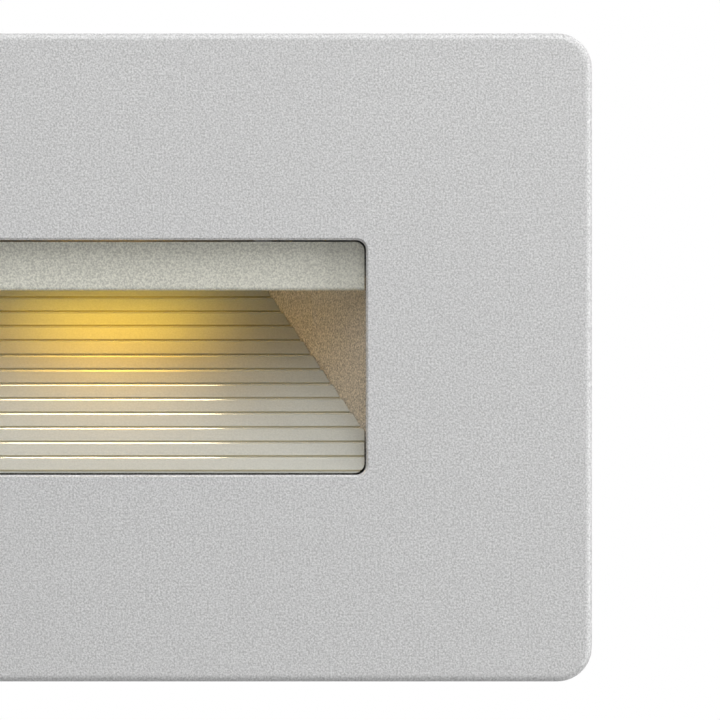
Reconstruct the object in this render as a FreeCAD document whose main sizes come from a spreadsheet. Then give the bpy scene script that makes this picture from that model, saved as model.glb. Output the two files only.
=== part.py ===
"""Recessed step light: a die-cast face plate over a stepped reflector in a wall box housing.

Millimetres. The origin is the middle of the wall surface behind the face plate.
+X runs to the right, +Y goes into the wall and +Z points up, so the front faces -Y.
"""
import FreeCAD, Part
import math
import os

import Sketcher

Vector = FreeCAD.Vector

# Every driving dimension: name, value and what it is.
DIMENSIONS = [
    # Face plate
    ("plate_w", 114.3, "width of the face plate"),
    ("plate_h", 76.2, "height of the face plate"),
    ("plate_depth", 5.2, "front of the face plate to the back of its rim"),
    ("plate_corner", 4.1, "corner radius of the face plate"),
    ("plate_edge_round", 0.8, "rounding of the plate's front edge"),
    ("face_t", 2.4, "thickness of the plate's front wall"),
    ("rim_t", 3.0, "thickness of the plate's rim"),
    ("hollow_corner", 2.0, "corner radius of the hollow behind the plate"),
    ("aperture_w", 61.2, "width of the light opening"),
    ("aperture_h", 27.6, "height of the light opening"),
    ("aperture_corner", 1.2, "corner radius of the light opening"),
    ("aperture_edge_bevel", 0.25, "bevel of the light opening's front edge"),
    ("collar_t", 1.8, "wall of the collar behind the light opening"),
    ("hook_w", 10.0, "width of the two ribs that hang the plate on the frame"),
    # Wall gasket and the set screws that hold the plate
    ("gasket_t", 1.2, "thickness of the foam ring behind the plate"),
    ("gasket_inset", 0.8, "foam ring back from the plate's edge"),
    ("gasket_band", 2.0, "width of the foam ring"),
    ("set_screw_span", 60.0, "distance between the set screws, and between a pair of tabs"),
    ("set_screw_r", 1.0, "radius of a set screw"),
    ("set_screw_len", 4.7, "length of a set screw"),
    ("set_screw_sunk", 0.3, "set screw back from the plate's underside"),
    ("set_screw_hex", 1.0, "hexagon socket across its flats"),
    # Mounting frame
    ("frame_t", 1.2, "sheet thickness of the mounting frame"),
    ("frame_side_in", 3.8, "frame's ends in from the plate's ends"),
    ("frame_top_in", 5.1, "frame's long edges in from the plate's"),
    ("frame_corner", 3.0, "corner radius of the mounting frame"),
    ("tab_w", 12.0, "width of a bent tab"),
    ("tab_reach", 2.4, "how far a tab stands forward of the frame"),
    ("box_span", 83.3, "distance between the wall box screws"),
    ("box_slot_w", 4.0, "width of a slot for a wall box screw"),
    ("box_slot_len", 8.0, "length of a slot for a wall box screw"),
    # Housing and rear cover
    ("housing_side_clear", 0.9, "housing's inner sides out from the frame's opening"),
    ("housing_depth", 42.0, "depth of the housing behind the wall surface"),
    ("housing_wall", 2.0, "wall of the housing"),
    ("housing_corner", 4.0, "corner radius of the housing"),
    ("post_side_in", 4.5, "corner posts in from the housing's sides"),
    ("post_top_in", 4.0, "corner posts in from the housing's top and bottom"),
    ("post_clear", 2.9, "corner posts out from the frame's opening"),
    ("post_r", 3.2, "radius of a corner post"),
    ("rear_gasket_t", 0.6, "thickness of the rear gasket"),
    ("rear_gasket_clear", 0.5, "rear gasket's opening in from the posts"),
    ("cover_t", 2.0, "thickness of the rear cover"),
    ("grommet_bore", 3.0, "radius of the lead grommet's bore"),
    ("grommet_wall", 2.0, "wall of the lead grommet"),
    ("grommet_flange", 1.4, "thickness and step of the grommet's flanges"),
    ("grommet_z", 6.0, "height of the lead grommet"),
    ("ground_x", 22.0, "ground screw left of the middle"),
    ("ground_z", 8.0, "ground screw below the middle"),
    # Machine screws
    ("screw_r", 1.5, "radius of a housing screw"),
    ("screw_head_r", 2.6, "head radius of a housing screw"),
    ("screw_head_t", 1.5, "head height of a housing screw"),
    ("screw_depth", 7.0, "thread of a housing screw in its post"),
    ("small_screw_r", 1.0, "radius of a small inner screw"),
    ("small_head_r", 2.0, "head radius of a small inner screw"),
    ("ground_screw_len", 3.0, "ground screw past the rear gasket"),
    ("reflector_screw_len", 4.5, "length of a reflector screw"),
    ("reflector_head_step", 1.0, "reflector screw's head out from its sleeve's bore"),
    ("hood_screw_short", 1.5, "hood screws' tips short of their bosses' ends"),
    ("small_head_t", 1.2, "head height of a small inner screw"),
    # Stepped reflector
    ("reflector_w", 60.8, "width of the reflector at its front"),
    ("step_rise", 1.71, "rise of one step"),
    ("step_going", 1.71, "going of one step"),
    ("step_count", 14, "number of steps"),
    ("step_nose", 0.6, "rounding of a step's nose"),
    ("step_ledge", 0.43, "ledge behind a step's nose"),
    ("step_undercut", 0.15, "depth of the groove under a step's lower edge"),
    ("step_lip", 0.2, "height of the groove under a step's lower edge"),
    ("first_nose_back", 0.3, "first nose behind the front of the plate"),
    ("first_nose_up", 0.4, "first nose above the bottom of the light opening"),
    ("reflector_t", 2.6, "slab under the steps, square to the slope"),
    ("reflector_boss_r", 2.0, "radius of the bosses behind the reflector"),
    ("reflector_boss_x", 12.0, "reflector bosses off the middle"),
    ("reflector_boss_z", -6.0, "height of the reflector bosses"),
    ("reflector_boss_end", 12.0, "depth that the reflector bosses reach"),
    # Splayed chamber
    ("side_splay", 0.694, "narrowing of each side per unit of depth"),
    ("chamber_wall", 1.6, "wall of the chamber"),
    ("chamber_lip", 1.3, "front edge of the chamber ahead of the wall surface"),
    ("flange_t", 1.6, "thickness of the chamber's bottom flange"),
    ("hood_boss_y", 9.0, "depth of the hood screws"),
    ("hood_boss_r", 2.5, "radius of the bosses for the hood screws"),
    ("hood_boss_len", 6.0, "length of the bosses for the hood screws"),
    # Glare hood
    ("blade_h", 5.7, "height of the hood's front blade"),
    ("blade_t", 1.4, "thickness of the hood's front blade"),
    ("blade_recess", 2.5, "blade behind the front of the plate"),
    ("blade_drop", 1.9, "bottom of the blade below the web"),
    ("blade_edge_round", 0.4, "rounding of the blade's lower edge"),
    ("web_t", 1.8, "thickness of the hood's web"),
    ("web_back", 16.0, "depth that the web reaches"),
    # Light source
    ("lens_w", 30.0, "width of the lens"),
    ("lens_d", 9.8, "depth of the lens"),
    ("lens_t", 1.5, "thickness of the lens"),
    ("lens_y", 3.9, "middle of the lens behind the wall surface"),
    ("lens_land", 1.0, "ledge that carries the lens"),
    ("lens_gasket_t", 1.8, "thickness of the lens gasket"),
    ("emitter_w", 5.0, "side of the light-emitting package"),
    ("emitter_t", 0.9, "height of the light-emitting package"),
    ("led_board_w", 42.0, "width of the emitter's board"),
    ("led_board_d", 10.0, "depth of the emitter's board"),
    ("led_board_t", 1.5, "thickness of the emitter's board"),
    ("led_screw_in", 2.5, "screws of the emitter's board in from its ends"),
    ("thermal_pad_t", 0.5, "thickness of the thermal pad"),
    ("sink_side_in", 7.0, "heat sink in from the housing's sides"),
    ("sink_front", 0.4, "front of the heat sink behind the wall surface"),
    ("sink_back", 24.0, "back of the heat sink"),
    ("sink_base", 2.5, "base thickness of the heat sink"),
    ("fin_gap", 2.2, "gap between the heat sink's fins"),
    ("fin_pitch", 4.0, "distance from fin to fin"),
    # Driver
    ("board_clear", 0.8, "driver board in from the corner posts"),
    ("board_front", 6.0, "front edge of the driver board"),
    ("board_back", 38.0, "rear edge of the driver board"),
    ("board_t", 1.6, "thickness of the driver board"),
    ("rail_h", 2.4, "height of the rails under the driver board"),
    ("rail_w", 5.0, "width of a rail under the driver board"),
    ("board_hole_in", 3.5, "driver board screws in from its edges"),
    ("core_w", 16.0, "width of the transformer core"),
    ("core_d", 12.0, "depth of the transformer core"),
    ("core_h", 13.0, "height of the transformer core"),
    ("core_limb", 5.2, "width of the core's middle limb"),
    ("core_window", 3.2, "width of a core window"),
    ("core_yoke", 2.3, "thickness of a core yoke"),
    ("transformer_x", -9.0, "transformer off the middle"),
    ("transformer_in", 15.0, "middle of the transformer in from the board's rear edge"),
    ("large_cap_r", 4.0, "radius of the large capacitor"),
    ("large_cap_h", 12.0, "height of the large capacitor"),
    ("large_cap_in", 7.0, "large capacitor in from the board's rear edge"),
    ("small_cap_r", 3.15, "radius of the small capacitor"),
    ("small_cap_h", 11.0, "height of the small capacitor"),
    ("capacitor_x", 5.0, "capacitors off the middle"),
    ("capacitor_gap", 2.85, "gap between the two capacitors"),
    ("chip_w", 6.0, "width of the controller chip"),
    ("chip_d", 4.0, "depth of the controller chip"),
    ("chip_h", 1.6, "height of the controller chip"),
    ("chip_x", 10.0, "controller chip off the middle"),
    ("chip_in", 6.0, "chips in from the board's front edge"),
    ("switch_w", 5.0, "width of the power switch"),
    ("switch_d", 6.2, "depth of the power switch"),
    ("switch_h", 2.2, "height of the power switch"),
    ("disc_r", 4.0, "radius of the surge disc"),
    ("disc_t", 3.5, "thickness of the surge disc"),
    ("disc_x", 12.25, "surge disc off the middle"),
    ("disc_in", 5.0, "surge disc in from the board's rear edge"),
    ("fuse_r", 2.0, "radius of the fuse resistor"),
    ("fuse_len", 7.6, "length of the fuse resistor"),
    ("fuse_side_in", 1.5, "fuse resistor in from the board's left edge"),
    ("fuse_in", 13.0, "fuse resistor in from the board's front edge"),
    ("terminal_h", 7.0, "height of a terminal block"),
    ("terminal_d", 5.2, "depth of a terminal block"),
    ("terminal_pitch", 3.0, "distance between two terminals"),
    ("terminal_wall", 0.5, "wall at the ends of a terminal block"),
    ("input_terminal_x", -12.0, "input terminal off the middle"),
    ("input_terminal_in", 2.8, "input terminal in from the board's rear edge"),
    ("lead_t", 1.2, "thickness of the flat two-core lead"),
    ("lead_w", 2.6, "width of the flat two-core lead"),
    ("lead_bend", 4.6, "bend radius of the lead"),
    ("lead_in", 11.0, "lead's drop in from the board's rear edge"),
    ("lead_x", 19.2, "lead off the middle"),
    # Fits
    ("fit_gap", 0.1, "clearance where a piece is seated"),
    ("slide_gap", 0.2, "clearance round pieces that pass the lift-off plate"),
]


class Size:
    """A length that carries its number and the spreadsheet formula behind it."""

    def __init__(self, value, text):
        self.value = float(value)
        self.text = text

    def __neg__(self):
        return Size(-self.value, f"(0 - {self.text})")

    def __add__(self, other):
        other = as_size(other)
        return Size(self.value + other.value, f"({self.text} + {other.text})")

    def __radd__(self, other):
        return as_size(other) + self

    def __sub__(self, other):
        other = as_size(other)
        return Size(self.value - other.value, f"({self.text} - {other.text})")

    def __rsub__(self, other):
        return as_size(other) - self

    def __mul__(self, other):
        other = as_size(other)
        return Size(self.value * other.value, f"({self.text} * {other.text})")

    def __rmul__(self, other):
        return as_size(other) * self

    def __truediv__(self, other):
        other = as_size(other)
        return Size(self.value / other.value, f"({self.text} / {other.text})")


def as_size(number):
    """A bare number as a Size, so that both mix in one formula."""
    if isinstance(number, Size):
        return number
    return Size(number, f"({float(number)})")


def root(size):
    """Square root of a Size."""
    return Size(math.sqrt(size.value), f"sqrt({size.text})")


class SizeTable:
    """The driving dimensions by name, kept in the document's spreadsheet."""

    def __init__(self, document, rows):
        self.sheet = document.addObject("Spreadsheet::Sheet", "Sizes")
        for row, (name, value, note) in enumerate(rows, start=1):
            self.sheet.set(f"A{row}", name)
            self.sheet.set(f"B{row}", str(value))
            self.sheet.set(f"C{row}", note)
            self.sheet.setAlias(f"B{row}", name)
            setattr(self, name, Size(value, f"Sizes.{name}"))


doc = FreeCAD.newDocument("StepLight")
size = SizeTable(doc, DIMENSIONS)
doc.recompute()


def new_body(label):
    """A body for one sub-part; its label names its file."""
    body = doc.addObject("PartDesign::Body", label)
    body.Label = label
    body.AllowCompound = True
    return body


class Profile:
    """A sketch on one of its body's own planes, at a place along that plane's axis.

    On XZ_Plane it is drawn in X and Z, on XY_Plane in X and Y, on YZ_Plane in Y and Z.
    """

    def __init__(self, body, name, plane, place=0):
        self.body = body
        self.name = name
        self.place = as_size(place)
        # The XZ plane looks towards -Y, the other two look along their axes.
        self.side = -1 if plane == "XZ_Plane" else 1
        support = next(item for item in body.Origin.OriginFeatures if item.Role == plane)
        self.sketch = body.newObject("Sketcher::SketchObject", name + "Sketch")
        self.sketch.AttachmentSupport = (support, "")
        self.sketch.MapMode = "FlatFace"
        offset = self.place * self.side
        self.sketch.setExpression("AttachmentOffset.Base.z", offset.text)

    def tie(self, *constraint):
        self.sketch.addConstraint(Sketcher.Constraint(*constraint))

    def tie_size(self, kind, geometry, point, amount):
        """A constraint whose amount follows the spreadsheet."""
        where = (geometry,) if point is None else (geometry, point)
        index = self.sketch.addConstraint(Sketcher.Constraint(kind, *where, amount.value))
        self.sketch.setExpression(f"Constraints[{index}]", amount.text)

    def tie_point(self, geometry, point, across, along):
        self.tie_size("DistanceX", geometry, point, across)
        self.tie_size("DistanceY", geometry, point, along)

    def outline(self, corners, closed=True):
        """Straight sides between corners; a corner (u, v, radius) is rounded."""
        corners = [tuple(as_size(part) for part in corner) for corner in corners]
        count = len(corners)
        spots = [Vector(corner[0].value, corner[1].value, 0) for corner in corners]
        arrive = list(spots)
        leave = list(spots)
        bends = {}
        for place, corner in enumerate(corners):
            if len(corner) < 3:
                continue
            here = spots[place]
            before = (spots[place - 1] - here).normalize()
            after = (spots[(place + 1) % count] - here).normalize()
            radius = corner[2].value
            half_angle = before.getAngle(after) / 2
            arrive[place] = here + before * (radius / math.tan(half_angle))
            leave[place] = here + after * (radius / math.tan(half_angle))
            middle_way = (before + after).normalize()
            centre = here + middle_way * (radius / math.sin(half_angle))
            middle = centre - middle_way * radius
            left_turn = after.cross(before).z > 0
            ends = [arrive[place], leave[place]] if left_turn else [leave[place], arrive[place]]
            arc = self.sketch.addGeometry(Part.Arc(ends[0], middle, ends[1]))
            bends[place] = (arc, 1 if left_turn else 2)
        sides = []
        for place in range(count if closed else count - 1):
            line = Part.LineSegment(leave[place], arrive[(place + 1) % count])
            sides.append(self.sketch.addGeometry(line))
        for place, corner in enumerate(corners):
            first_end = not closed and place == 0
            last_end = not closed and place == count - 1
            line_in = sides[place - 1] if not first_end else None
            line_out = sides[place] if not last_end else None
            if place not in bends:
                if line_in is not None and line_out is not None:
                    self.tie("Coincident", line_in, 2, line_out, 1)
                held = (line_out, 1) if line_out is not None else (line_in, 2)
                self.tie_point(*held, corner[0], corner[1])
                continue
            arc, start = bends[place]
            self.tie("Tangent", line_in, 2, arc, start)
            self.tie("Tangent", arc, 3 - start, line_out, 1)
            self.tie_size("Radius", arc, None, corner[2])
            point = self.sketch.addGeometry(Part.Point(spots[place]), True)
            self.tie_point(point, 1, corner[0], corner[1])
            self.tie("PointOnObject", point, 1, line_in)
            self.tie("PointOnObject", point, 1, line_out)
        return self

    def rectangle(self, across, along, width, height, radius=None):
        """A rectangle by its middle, width and height, with rounded corners if asked."""
        across = as_size(across)
        along = as_size(along)
        rounding = () if radius is None else (radius,)
        left = across - width / 2
        right = across + width / 2
        low = along - height / 2
        high = along + height / 2
        return self.outline([
            (left, low) + rounding,
            (right, low) + rounding,
            (right, high) + rounding,
            (left, high) + rounding,
        ])

    def span(self, left, right, low, high, radius=None):
        """A rectangle by its four sides."""
        rounding = () if radius is None else (radius,)
        return self.outline([
            (left, low) + rounding,
            (right, low) + rounding,
            (right, high) + rounding,
            (left, high) + rounding,
        ])

    def circle(self, across, along, radius):
        across = as_size(across)
        along = as_size(along)
        centre = Vector(across.value, along.value, 0)
        ring = self.sketch.addGeometry(Part.Circle(centre, Vector(0, 0, 1), radius.value))
        self.tie_point(ring, 3, across, along)
        self.tie_size("Radius", ring, None, radius)
        return self

    def slot(self, across, along, length, width):
        """A slot along the sketch's first axis with round ends."""
        across = as_size(across)
        along = as_size(along)
        radius = width / 2
        reach = length / 2 - radius
        centres = [across + reach, across - reach]
        up = Vector(0, radius.value, 0)
        arcs = []
        for side, centre in zip((1, -1), centres):
            middle = Vector(centre.value, along.value, 0)
            tip = middle + Vector(side * radius.value, 0, 0)
            arcs.append(self.sketch.addGeometry(Part.Arc(middle - up * side, tip, middle + up * side)))
            self.tie_point(arcs[-1], 3, centre, along)
            self.tie_size("Radius", arcs[-1], None, radius)
        right = Vector(centres[0].value, along.value, 0)
        left = Vector(centres[1].value, along.value, 0)
        top = self.sketch.addGeometry(Part.LineSegment(right + up, left + up))
        bottom = self.sketch.addGeometry(Part.LineSegment(left - up, right - up))
        self.tie("Tangent", arcs[0], 2, top, 1)
        self.tie("Tangent", top, 2, arcs[1], 1)
        self.tie("Tangent", arcs[1], 2, bottom, 1)
        self.tie("Tangent", bottom, 2, arcs[0], 1)
        return self

    def hexagon(self, across, along, flats):
        """A hexagon by its middle and the distance across its flats."""
        across = as_size(across)
        along = as_size(along)
        reach = flats / math.sqrt(3)
        turns = [math.radians(60 * corner) for corner in range(6)]
        return self.outline([
            (across + reach * math.cos(turn), along + reach * math.sin(turn)) for turn in turns
        ])

    def cross(self, across, along, reach, width):
        """A cross recess: two bars over one another."""
        across = as_size(across)
        along = as_size(along)
        half = width / 2
        quarter = [(reach, -half), (reach, half), (half, half)]
        corners = []
        for turn in range(4):
            for east, north in quarter:
                for _ in range(turn):
                    east, north = -north, east
                corners.append((across + east, along + north))
        return self.outline(corners)

    def axis(self, start, end):
        """A construction line, the sketch's first, for a revolution or a pattern."""
        points = [tuple(as_size(part) for part in point) for point in (start, end)]
        spots = [Vector(point[0].value, point[1].value, 0) for point in points]
        line = self.sketch.addGeometry(Part.LineSegment(*spots), True)
        self.tie_point(line, 1, *points[0])
        self.tie_point(line, 2, *points[1])
        return self

    def extrude(self, kind, end, forward):
        """Pad or pocket from the sketch to another place along the same axis."""
        end = as_size(end)
        grows = end.value > self.place.value
        length = end - self.place if grows else self.place - end
        feature = self.body.newObject(kind, self.name)
        feature.Profile = self.sketch
        feature.setExpression("Length", length.text)
        feature.Reversed = grows != (self.side * forward > 0)
        self.sketch.Visibility = False
        return feature

    def pad(self, end):
        return self.extrude("PartDesign::Pad", end, 1)

    def pocket(self, end):
        return self.extrude("PartDesign::Pocket", end, -1)

    def pad_both_ways(self, width):
        return self.both_ways("PartDesign::Pad", width)

    def pocket_both_ways(self, width):
        return self.both_ways("PartDesign::Pocket", width)

    def both_ways(self, kind, width):
        """Pad or pocket half the width to each side of the sketch."""
        feature = self.body.newObject(kind, self.name)
        feature.Profile = self.sketch
        feature.SideType = "Symmetric"
        feature.setExpression("Length", as_size(width).text)
        return feature

    def revolve(self):
        """Turn the sketch once round its construction line."""
        feature = self.body.newObject("PartDesign::Revolution", self.name)
        feature.Profile = self.sketch
        feature.ReferenceAxis = (self.sketch, ["Axis0"])
        feature.Angle = 360
        return feature


def repeat_along(feature, profile, spacing, count):
    """Repeat a feature along the construction line of its sketch."""
    body = profile.body
    pattern = body.newObject("PartDesign::LinearPattern", profile.name + "Row")
    pattern.Originals = [feature]
    pattern.Direction = (profile.sketch, ["Axis0"])
    pattern.Mode = "Spacing"
    pattern.setExpression("Offset", spacing.text)
    pattern.setExpression("Occurrences", count.text)
    body.Tip = pattern
    return pattern


def edges_inside(body, across, depth, height):
    """The body's last feature and its edges that lie inside the X, Y and Z ranges."""
    doc.recompute()
    slack = 0.02
    base = body.Tip
    ranges = []
    for limits in (across, depth, height):
        low, high = limits if limits is not None else (-1000, 1000)
        ranges.append((as_size(low).value - slack, as_size(high).value + slack))
    names = []
    for index, edge in enumerate(base.Shape.Edges, start=1):
        box = edge.BoundBox
        spans = [(box.XMin, box.XMax), (box.YMin, box.YMax), (box.ZMin, box.ZMax)]
        if all(low <= span[0] and span[1] <= high for (low, high), span in zip(ranges, spans)):
            names.append(f"Edge{index}")
    return base, names


def round_edges(body, name, radius, across=None, depth=None, height=None):
    """Fillet the edges that lie inside the given ranges."""
    picked = edges_inside(body, across, depth, height)
    fillet = body.newObject("PartDesign::Fillet", name)
    fillet.Base = picked
    fillet.setExpression("Radius", as_size(radius).text)


def bevel_edges(body, name, width, across=None, depth=None, height=None):
    """Chamfer the edges that lie inside the given ranges."""
    picked = edges_inside(body, across, depth, height)
    chamfer = body.newObject("PartDesign::Chamfer", name)
    chamfer.Base = picked
    chamfer.setExpression("Size", as_size(width).text)


def notched_corners(wide, tall, narrow, short):
    """Corners of a rectangle whose own corners are cut out squarely."""
    quarter = [(wide, short), (narrow, short), (narrow, tall)]
    east = quarter + [(-across, along) for across, along in reversed(quarter)]
    return east + [(-across, -along) for across, along in east]


def both_sides(distance):
    """The same distance to the left and to the right of the middle."""
    return [-distance, distance]


# Places that several pieces share, worked out from the driving dimensions.
frame_half_w = size.plate_w / 2 - size.frame_side_in
frame_half_h = size.plate_h / 2 - size.frame_top_in
plate_back = -size.gasket_t
plate_front = plate_back - size.plate_depth
face_back = plate_front + size.face_t
frame_front = -size.frame_t
collar_back = frame_front - size.slide_gap
rim_inside_h = size.plate_h / 2 - size.rim_t
tab_tip = frame_front - size.tab_reach
set_screw_y = (face_back + plate_back) / 2
set_screw_low = -(size.plate_h / 2) + size.set_screw_sunk

# Slope of the stairs: heights along it are level distance times this.
climb = size.step_rise / size.step_going
slant = root(climb * climb + 1)
first_nose_y = plate_front + size.first_nose_back
first_nose_z = -(size.aperture_h / 2) + size.first_nose_up
reflector_low = first_nose_z - size.fit_gap * 2


def slope_height(depth, below):
    """Height of a plane under the line of the noses, measured square to the slope."""
    return first_nose_z + (depth - first_nose_y) * climb - below * slant


def slope_depth(height, below):
    """Depth at which that plane reaches a height."""
    return first_nose_y + (height - first_nose_z + below * slant) / climb


# Square to the slope: the crevices, the reflector's back, the chamber floor and its underside.
crevice_below = (size.step_ledge + size.step_undercut) * climb / slant
reflector_below = crevice_below + size.reflector_t
floor_below = reflector_below + size.fit_gap
underside_below = floor_below + size.chamber_wall

web_low = size.aperture_h / 2 - 0.2 - size.blade_h + size.blade_drop
web_high = web_low + size.web_t
chamber_top = web_low - size.fit_gap
chamber_front = -size.chamber_lip
chamber_half = size.reflector_w / 2 + size.fit_gap
chamber_rear = slope_depth(chamber_top, underside_below)
chamber_low = -(size.aperture_h / 2) - 1.1
splay_slant = root(size.side_splay * size.side_splay + 1)
wall_across = size.chamber_wall * splay_slant


def splay_half(depth, outward=0):
    """Half the chamber's inner width at a depth, moved outward by a distance."""
    return chamber_half - (depth - chamber_front) * size.side_splay + outward


# The stack over the web sets the frame's opening, and that the housing's height.
lens_low = web_high - size.lens_land
lens_high = lens_low + size.lens_t
led_board_low = lens_high + size.lens_gasket_t
led_board_high = led_board_low + size.led_board_t
sink_low = led_board_high + size.thermal_pad_t
opening_half = chamber_half + size.chamber_wall
opening_low = chamber_low - size.fit_gap * 2
opening_high = sink_low + size.slide_gap

cavity_w = 2 * (opening_half + size.housing_side_clear)
housing_w = cavity_w + 2 * size.housing_wall
post_x = housing_w / 2 - size.post_side_in
post_z = opening_high + size.post_clear
housing_h = 2 * (post_z + size.post_top_in)
cavity_h = housing_h - 2 * size.housing_wall
sink_high = cavity_h / 2
cover_front = size.housing_depth + size.rear_gasket_t
cover_back = cover_front + size.cover_t

led_screw_x = size.led_board_w / 2 - size.led_screw_in
hood_boss_x = splay_half(size.hood_boss_y, wall_across) + 0.9
board_half = post_x - size.post_r - size.board_clear
board_low = -sink_high + size.rail_h
board_high = board_low + size.board_t
board_screw_x = board_half - size.board_hole_in
transformer_y = size.board_back - size.transformer_in
large_cap_y = size.board_back - size.large_cap_in
small_cap_y = large_cap_y - size.large_cap_r - size.small_cap_r - size.capacitor_gap
lead_y = size.board_back - size.lead_in
board_screws = [
    (-board_screw_x, size.board_front + size.board_hole_in),
    (board_screw_x, size.board_back - size.board_hole_in),
]


def screws(label, plane, places, seat, tip, shank_r, head_r, head_t, outward, hexagon=False):
    """A set of screws; outward is the sign of the way their heads face.

    The outer ones have a round head with a cross recess, the inner ones a hexagon head.
    """
    body = new_body(label)
    head_end = seat + outward * head_t
    heads = Profile(body, "Heads", plane, head_end)
    for across, along in places:
        if hexagon:
            heads.hexagon(across, along, head_r * math.sqrt(3))
        else:
            heads.circle(across, along, head_r)
    heads.pad(seat)
    shanks = Profile(body, "Shanks", plane, seat)
    for across, along in places:
        shanks.circle(across, along, shank_r)
    shanks.pad(tip)
    if not hexagon:
        cross = Profile(body, "Recess", plane, head_end)
        for across, along in places:
            cross.cross(across, along, head_r * 0.5, head_r * 0.22)
        cross.pocket(head_end - outward * head_t * 0.6)
    return body


def make_face_plate():
    body = new_body("face_plate")
    shell = Profile(body, "Shell", "XZ_Plane", plate_front)
    shell.rectangle(0, 0, size.plate_w, size.plate_h, size.plate_corner)
    shell.pad(plate_back)
    round_edges(body, "FrontRounding", size.plate_edge_round, depth=(plate_front, plate_front))
    hollow = Profile(body, "Hollow", "XZ_Plane", plate_back)
    hollow.rectangle(
        0, 0, size.plate_w - 2 * size.rim_t, size.plate_h - 2 * size.rim_t, size.hollow_corner
    )
    hollow.pocket(face_back)
    collar = Profile(body, "Collar", "XZ_Plane", collar_back)
    collar.rectangle(
        0, 0,
        size.aperture_w + 2 * size.collar_t,
        size.aperture_h + 2 * size.collar_t,
        size.aperture_corner + size.collar_t,
    )
    collar.pad(face_back - size.face_t / 2)
    hooks = Profile(body, "Hooks", "XZ_Plane", frame_front - size.slide_gap)
    for middle in both_sides(size.set_screw_span / 2):
        hooks.span(
            middle - size.hook_w / 2,
            middle + size.hook_w / 2,
            frame_half_h + size.fit_gap,
            rim_inside_h + size.rim_t / 2,
        )
    hooks.pad(face_back - size.face_t / 2)
    aperture = Profile(body, "Aperture", "XZ_Plane", plate_front)
    aperture.rectangle(0, 0, size.aperture_w, size.aperture_h, size.aperture_corner)
    aperture.pocket(collar_back)
    half_w = size.aperture_w / 2
    half_h = size.aperture_h / 2
    bevel_edges(
        body, "ApertureBevel", size.aperture_edge_bevel,
        across=(-half_w, half_w), depth=(plate_front, plate_front), height=(-half_h, half_h),
    )
    holes = Profile(body, "SetScrewHoles", "XY_Plane", -(size.plate_h / 2))
    for middle in both_sides(size.set_screw_span / 2):
        holes.circle(middle, set_screw_y, size.set_screw_r + size.fit_gap / 2)
    holes.pocket(-rim_inside_h + size.fit_gap)
    return body


def make_wall_gasket():
    body = new_body("wall_gasket")
    ring = Profile(body, "Ring", "XZ_Plane", plate_back)
    inset = 2 * size.gasket_inset
    band = 2 * size.gasket_band
    outer_corner = size.plate_corner - size.gasket_inset
    ring.rectangle(0, 0, size.plate_w - inset, size.plate_h - inset, outer_corner)
    ring.rectangle(
        0, 0, size.plate_w - inset - band, size.plate_h - inset - band, size.hollow_corner
    )
    ring.pad(0)
    return body


def make_set_screws():
    body = new_body("set_screws")
    shanks = Profile(body, "Shanks", "XY_Plane", set_screw_low)
    for middle in both_sides(size.set_screw_span / 2):
        shanks.circle(middle, set_screw_y, size.set_screw_r)
    shanks.pad(set_screw_low + size.set_screw_len)
    sockets = Profile(body, "Sockets", "XY_Plane", set_screw_low)
    for middle in both_sides(size.set_screw_span / 2):
        sockets.hexagon(middle, set_screw_y, size.set_screw_hex)
    sockets.pocket(set_screw_low + size.set_screw_len * 0.35)
    return body


def make_mounting_frame():
    body = new_body("mounting_frame")
    sheet_metal = Profile(body, "SheetMetal", "XZ_Plane", frame_front)
    sheet_metal.rectangle(0, 0, 2 * frame_half_w, 2 * frame_half_h, size.frame_corner)
    sheet_metal.span(-opening_half, opening_half, opening_low, opening_high)
    for across in both_sides(post_x):
        for along in both_sides(post_z):
            sheet_metal.circle(across, along, size.screw_r + size.fit_gap)
    for across in both_sides(size.box_span / 2):
        sheet_metal.slot(across, 0, size.box_slot_len, size.box_slot_w)
    sheet_metal.pad(0)
    tabs = Profile(body, "Tabs", "XZ_Plane", tab_tip)
    outer = frame_half_h
    inner = outer - size.frame_t
    for middle in both_sides(size.set_screw_span / 2):
        left = middle - size.tab_w / 2
        right = middle + size.tab_w / 2
        tabs.span(left, right, inner, outer)
        tabs.span(left, right, -outer, -inner)
    tabs.pad(0)
    return body


def make_housing():
    body = new_body("housing")
    shell = Profile(body, "Shell", "XZ_Plane", 0)
    shell.rectangle(0, 0, housing_w, housing_h, size.housing_corner)
    shell.pad(size.housing_depth)
    cavity = Profile(body, "Cavity", "XZ_Plane", 0)
    cavity.rectangle(0, 0, cavity_w, cavity_h, size.housing_corner - size.housing_wall)
    cavity.pocket(size.housing_depth)
    upper_posts = Profile(body, "UpperPosts", "XZ_Plane", 0)
    lower_posts = Profile(body, "LowerPosts", "XZ_Plane", size.flange_t)
    screw_channels = Profile(body, "ScrewChannels", "XZ_Plane", 0)
    hole_r = size.screw_r + size.fit_gap / 2
    for across in both_sides(post_x):
        upper_posts.circle(across, post_z, size.post_r)
        lower_posts.circle(across, -post_z, size.post_r)
        for along in both_sides(post_z):
            screw_channels.circle(across, along, hole_r)
    upper_posts.pad(size.housing_depth)
    lower_posts.pad(size.housing_depth)
    screw_channels.pocket(size.housing_depth)
    floor = -sink_high
    rails = Profile(body, "Rails", "XY_Plane", floor - size.housing_wall / 2)
    rail_holes = Profile(body, "RailHoles", "XY_Plane", board_low)
    for across, along in board_screws:
        rails.rectangle(0, along, 2 * board_half - size.rail_w / 2, size.rail_w)
        rail_holes.circle(across, along, size.small_screw_r + size.fit_gap / 2)
    rails.pad(board_low)
    rail_holes.pocket(floor - size.housing_wall / 2)
    roof_holes = Profile(body, "RoofHoles", "XY_Plane", sink_high)
    for across in both_sides(led_screw_x):
        roof_holes.circle(across, size.lens_y, size.small_screw_r + size.fit_gap / 2)
    roof_holes.pocket(housing_h / 2)
    return body


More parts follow.
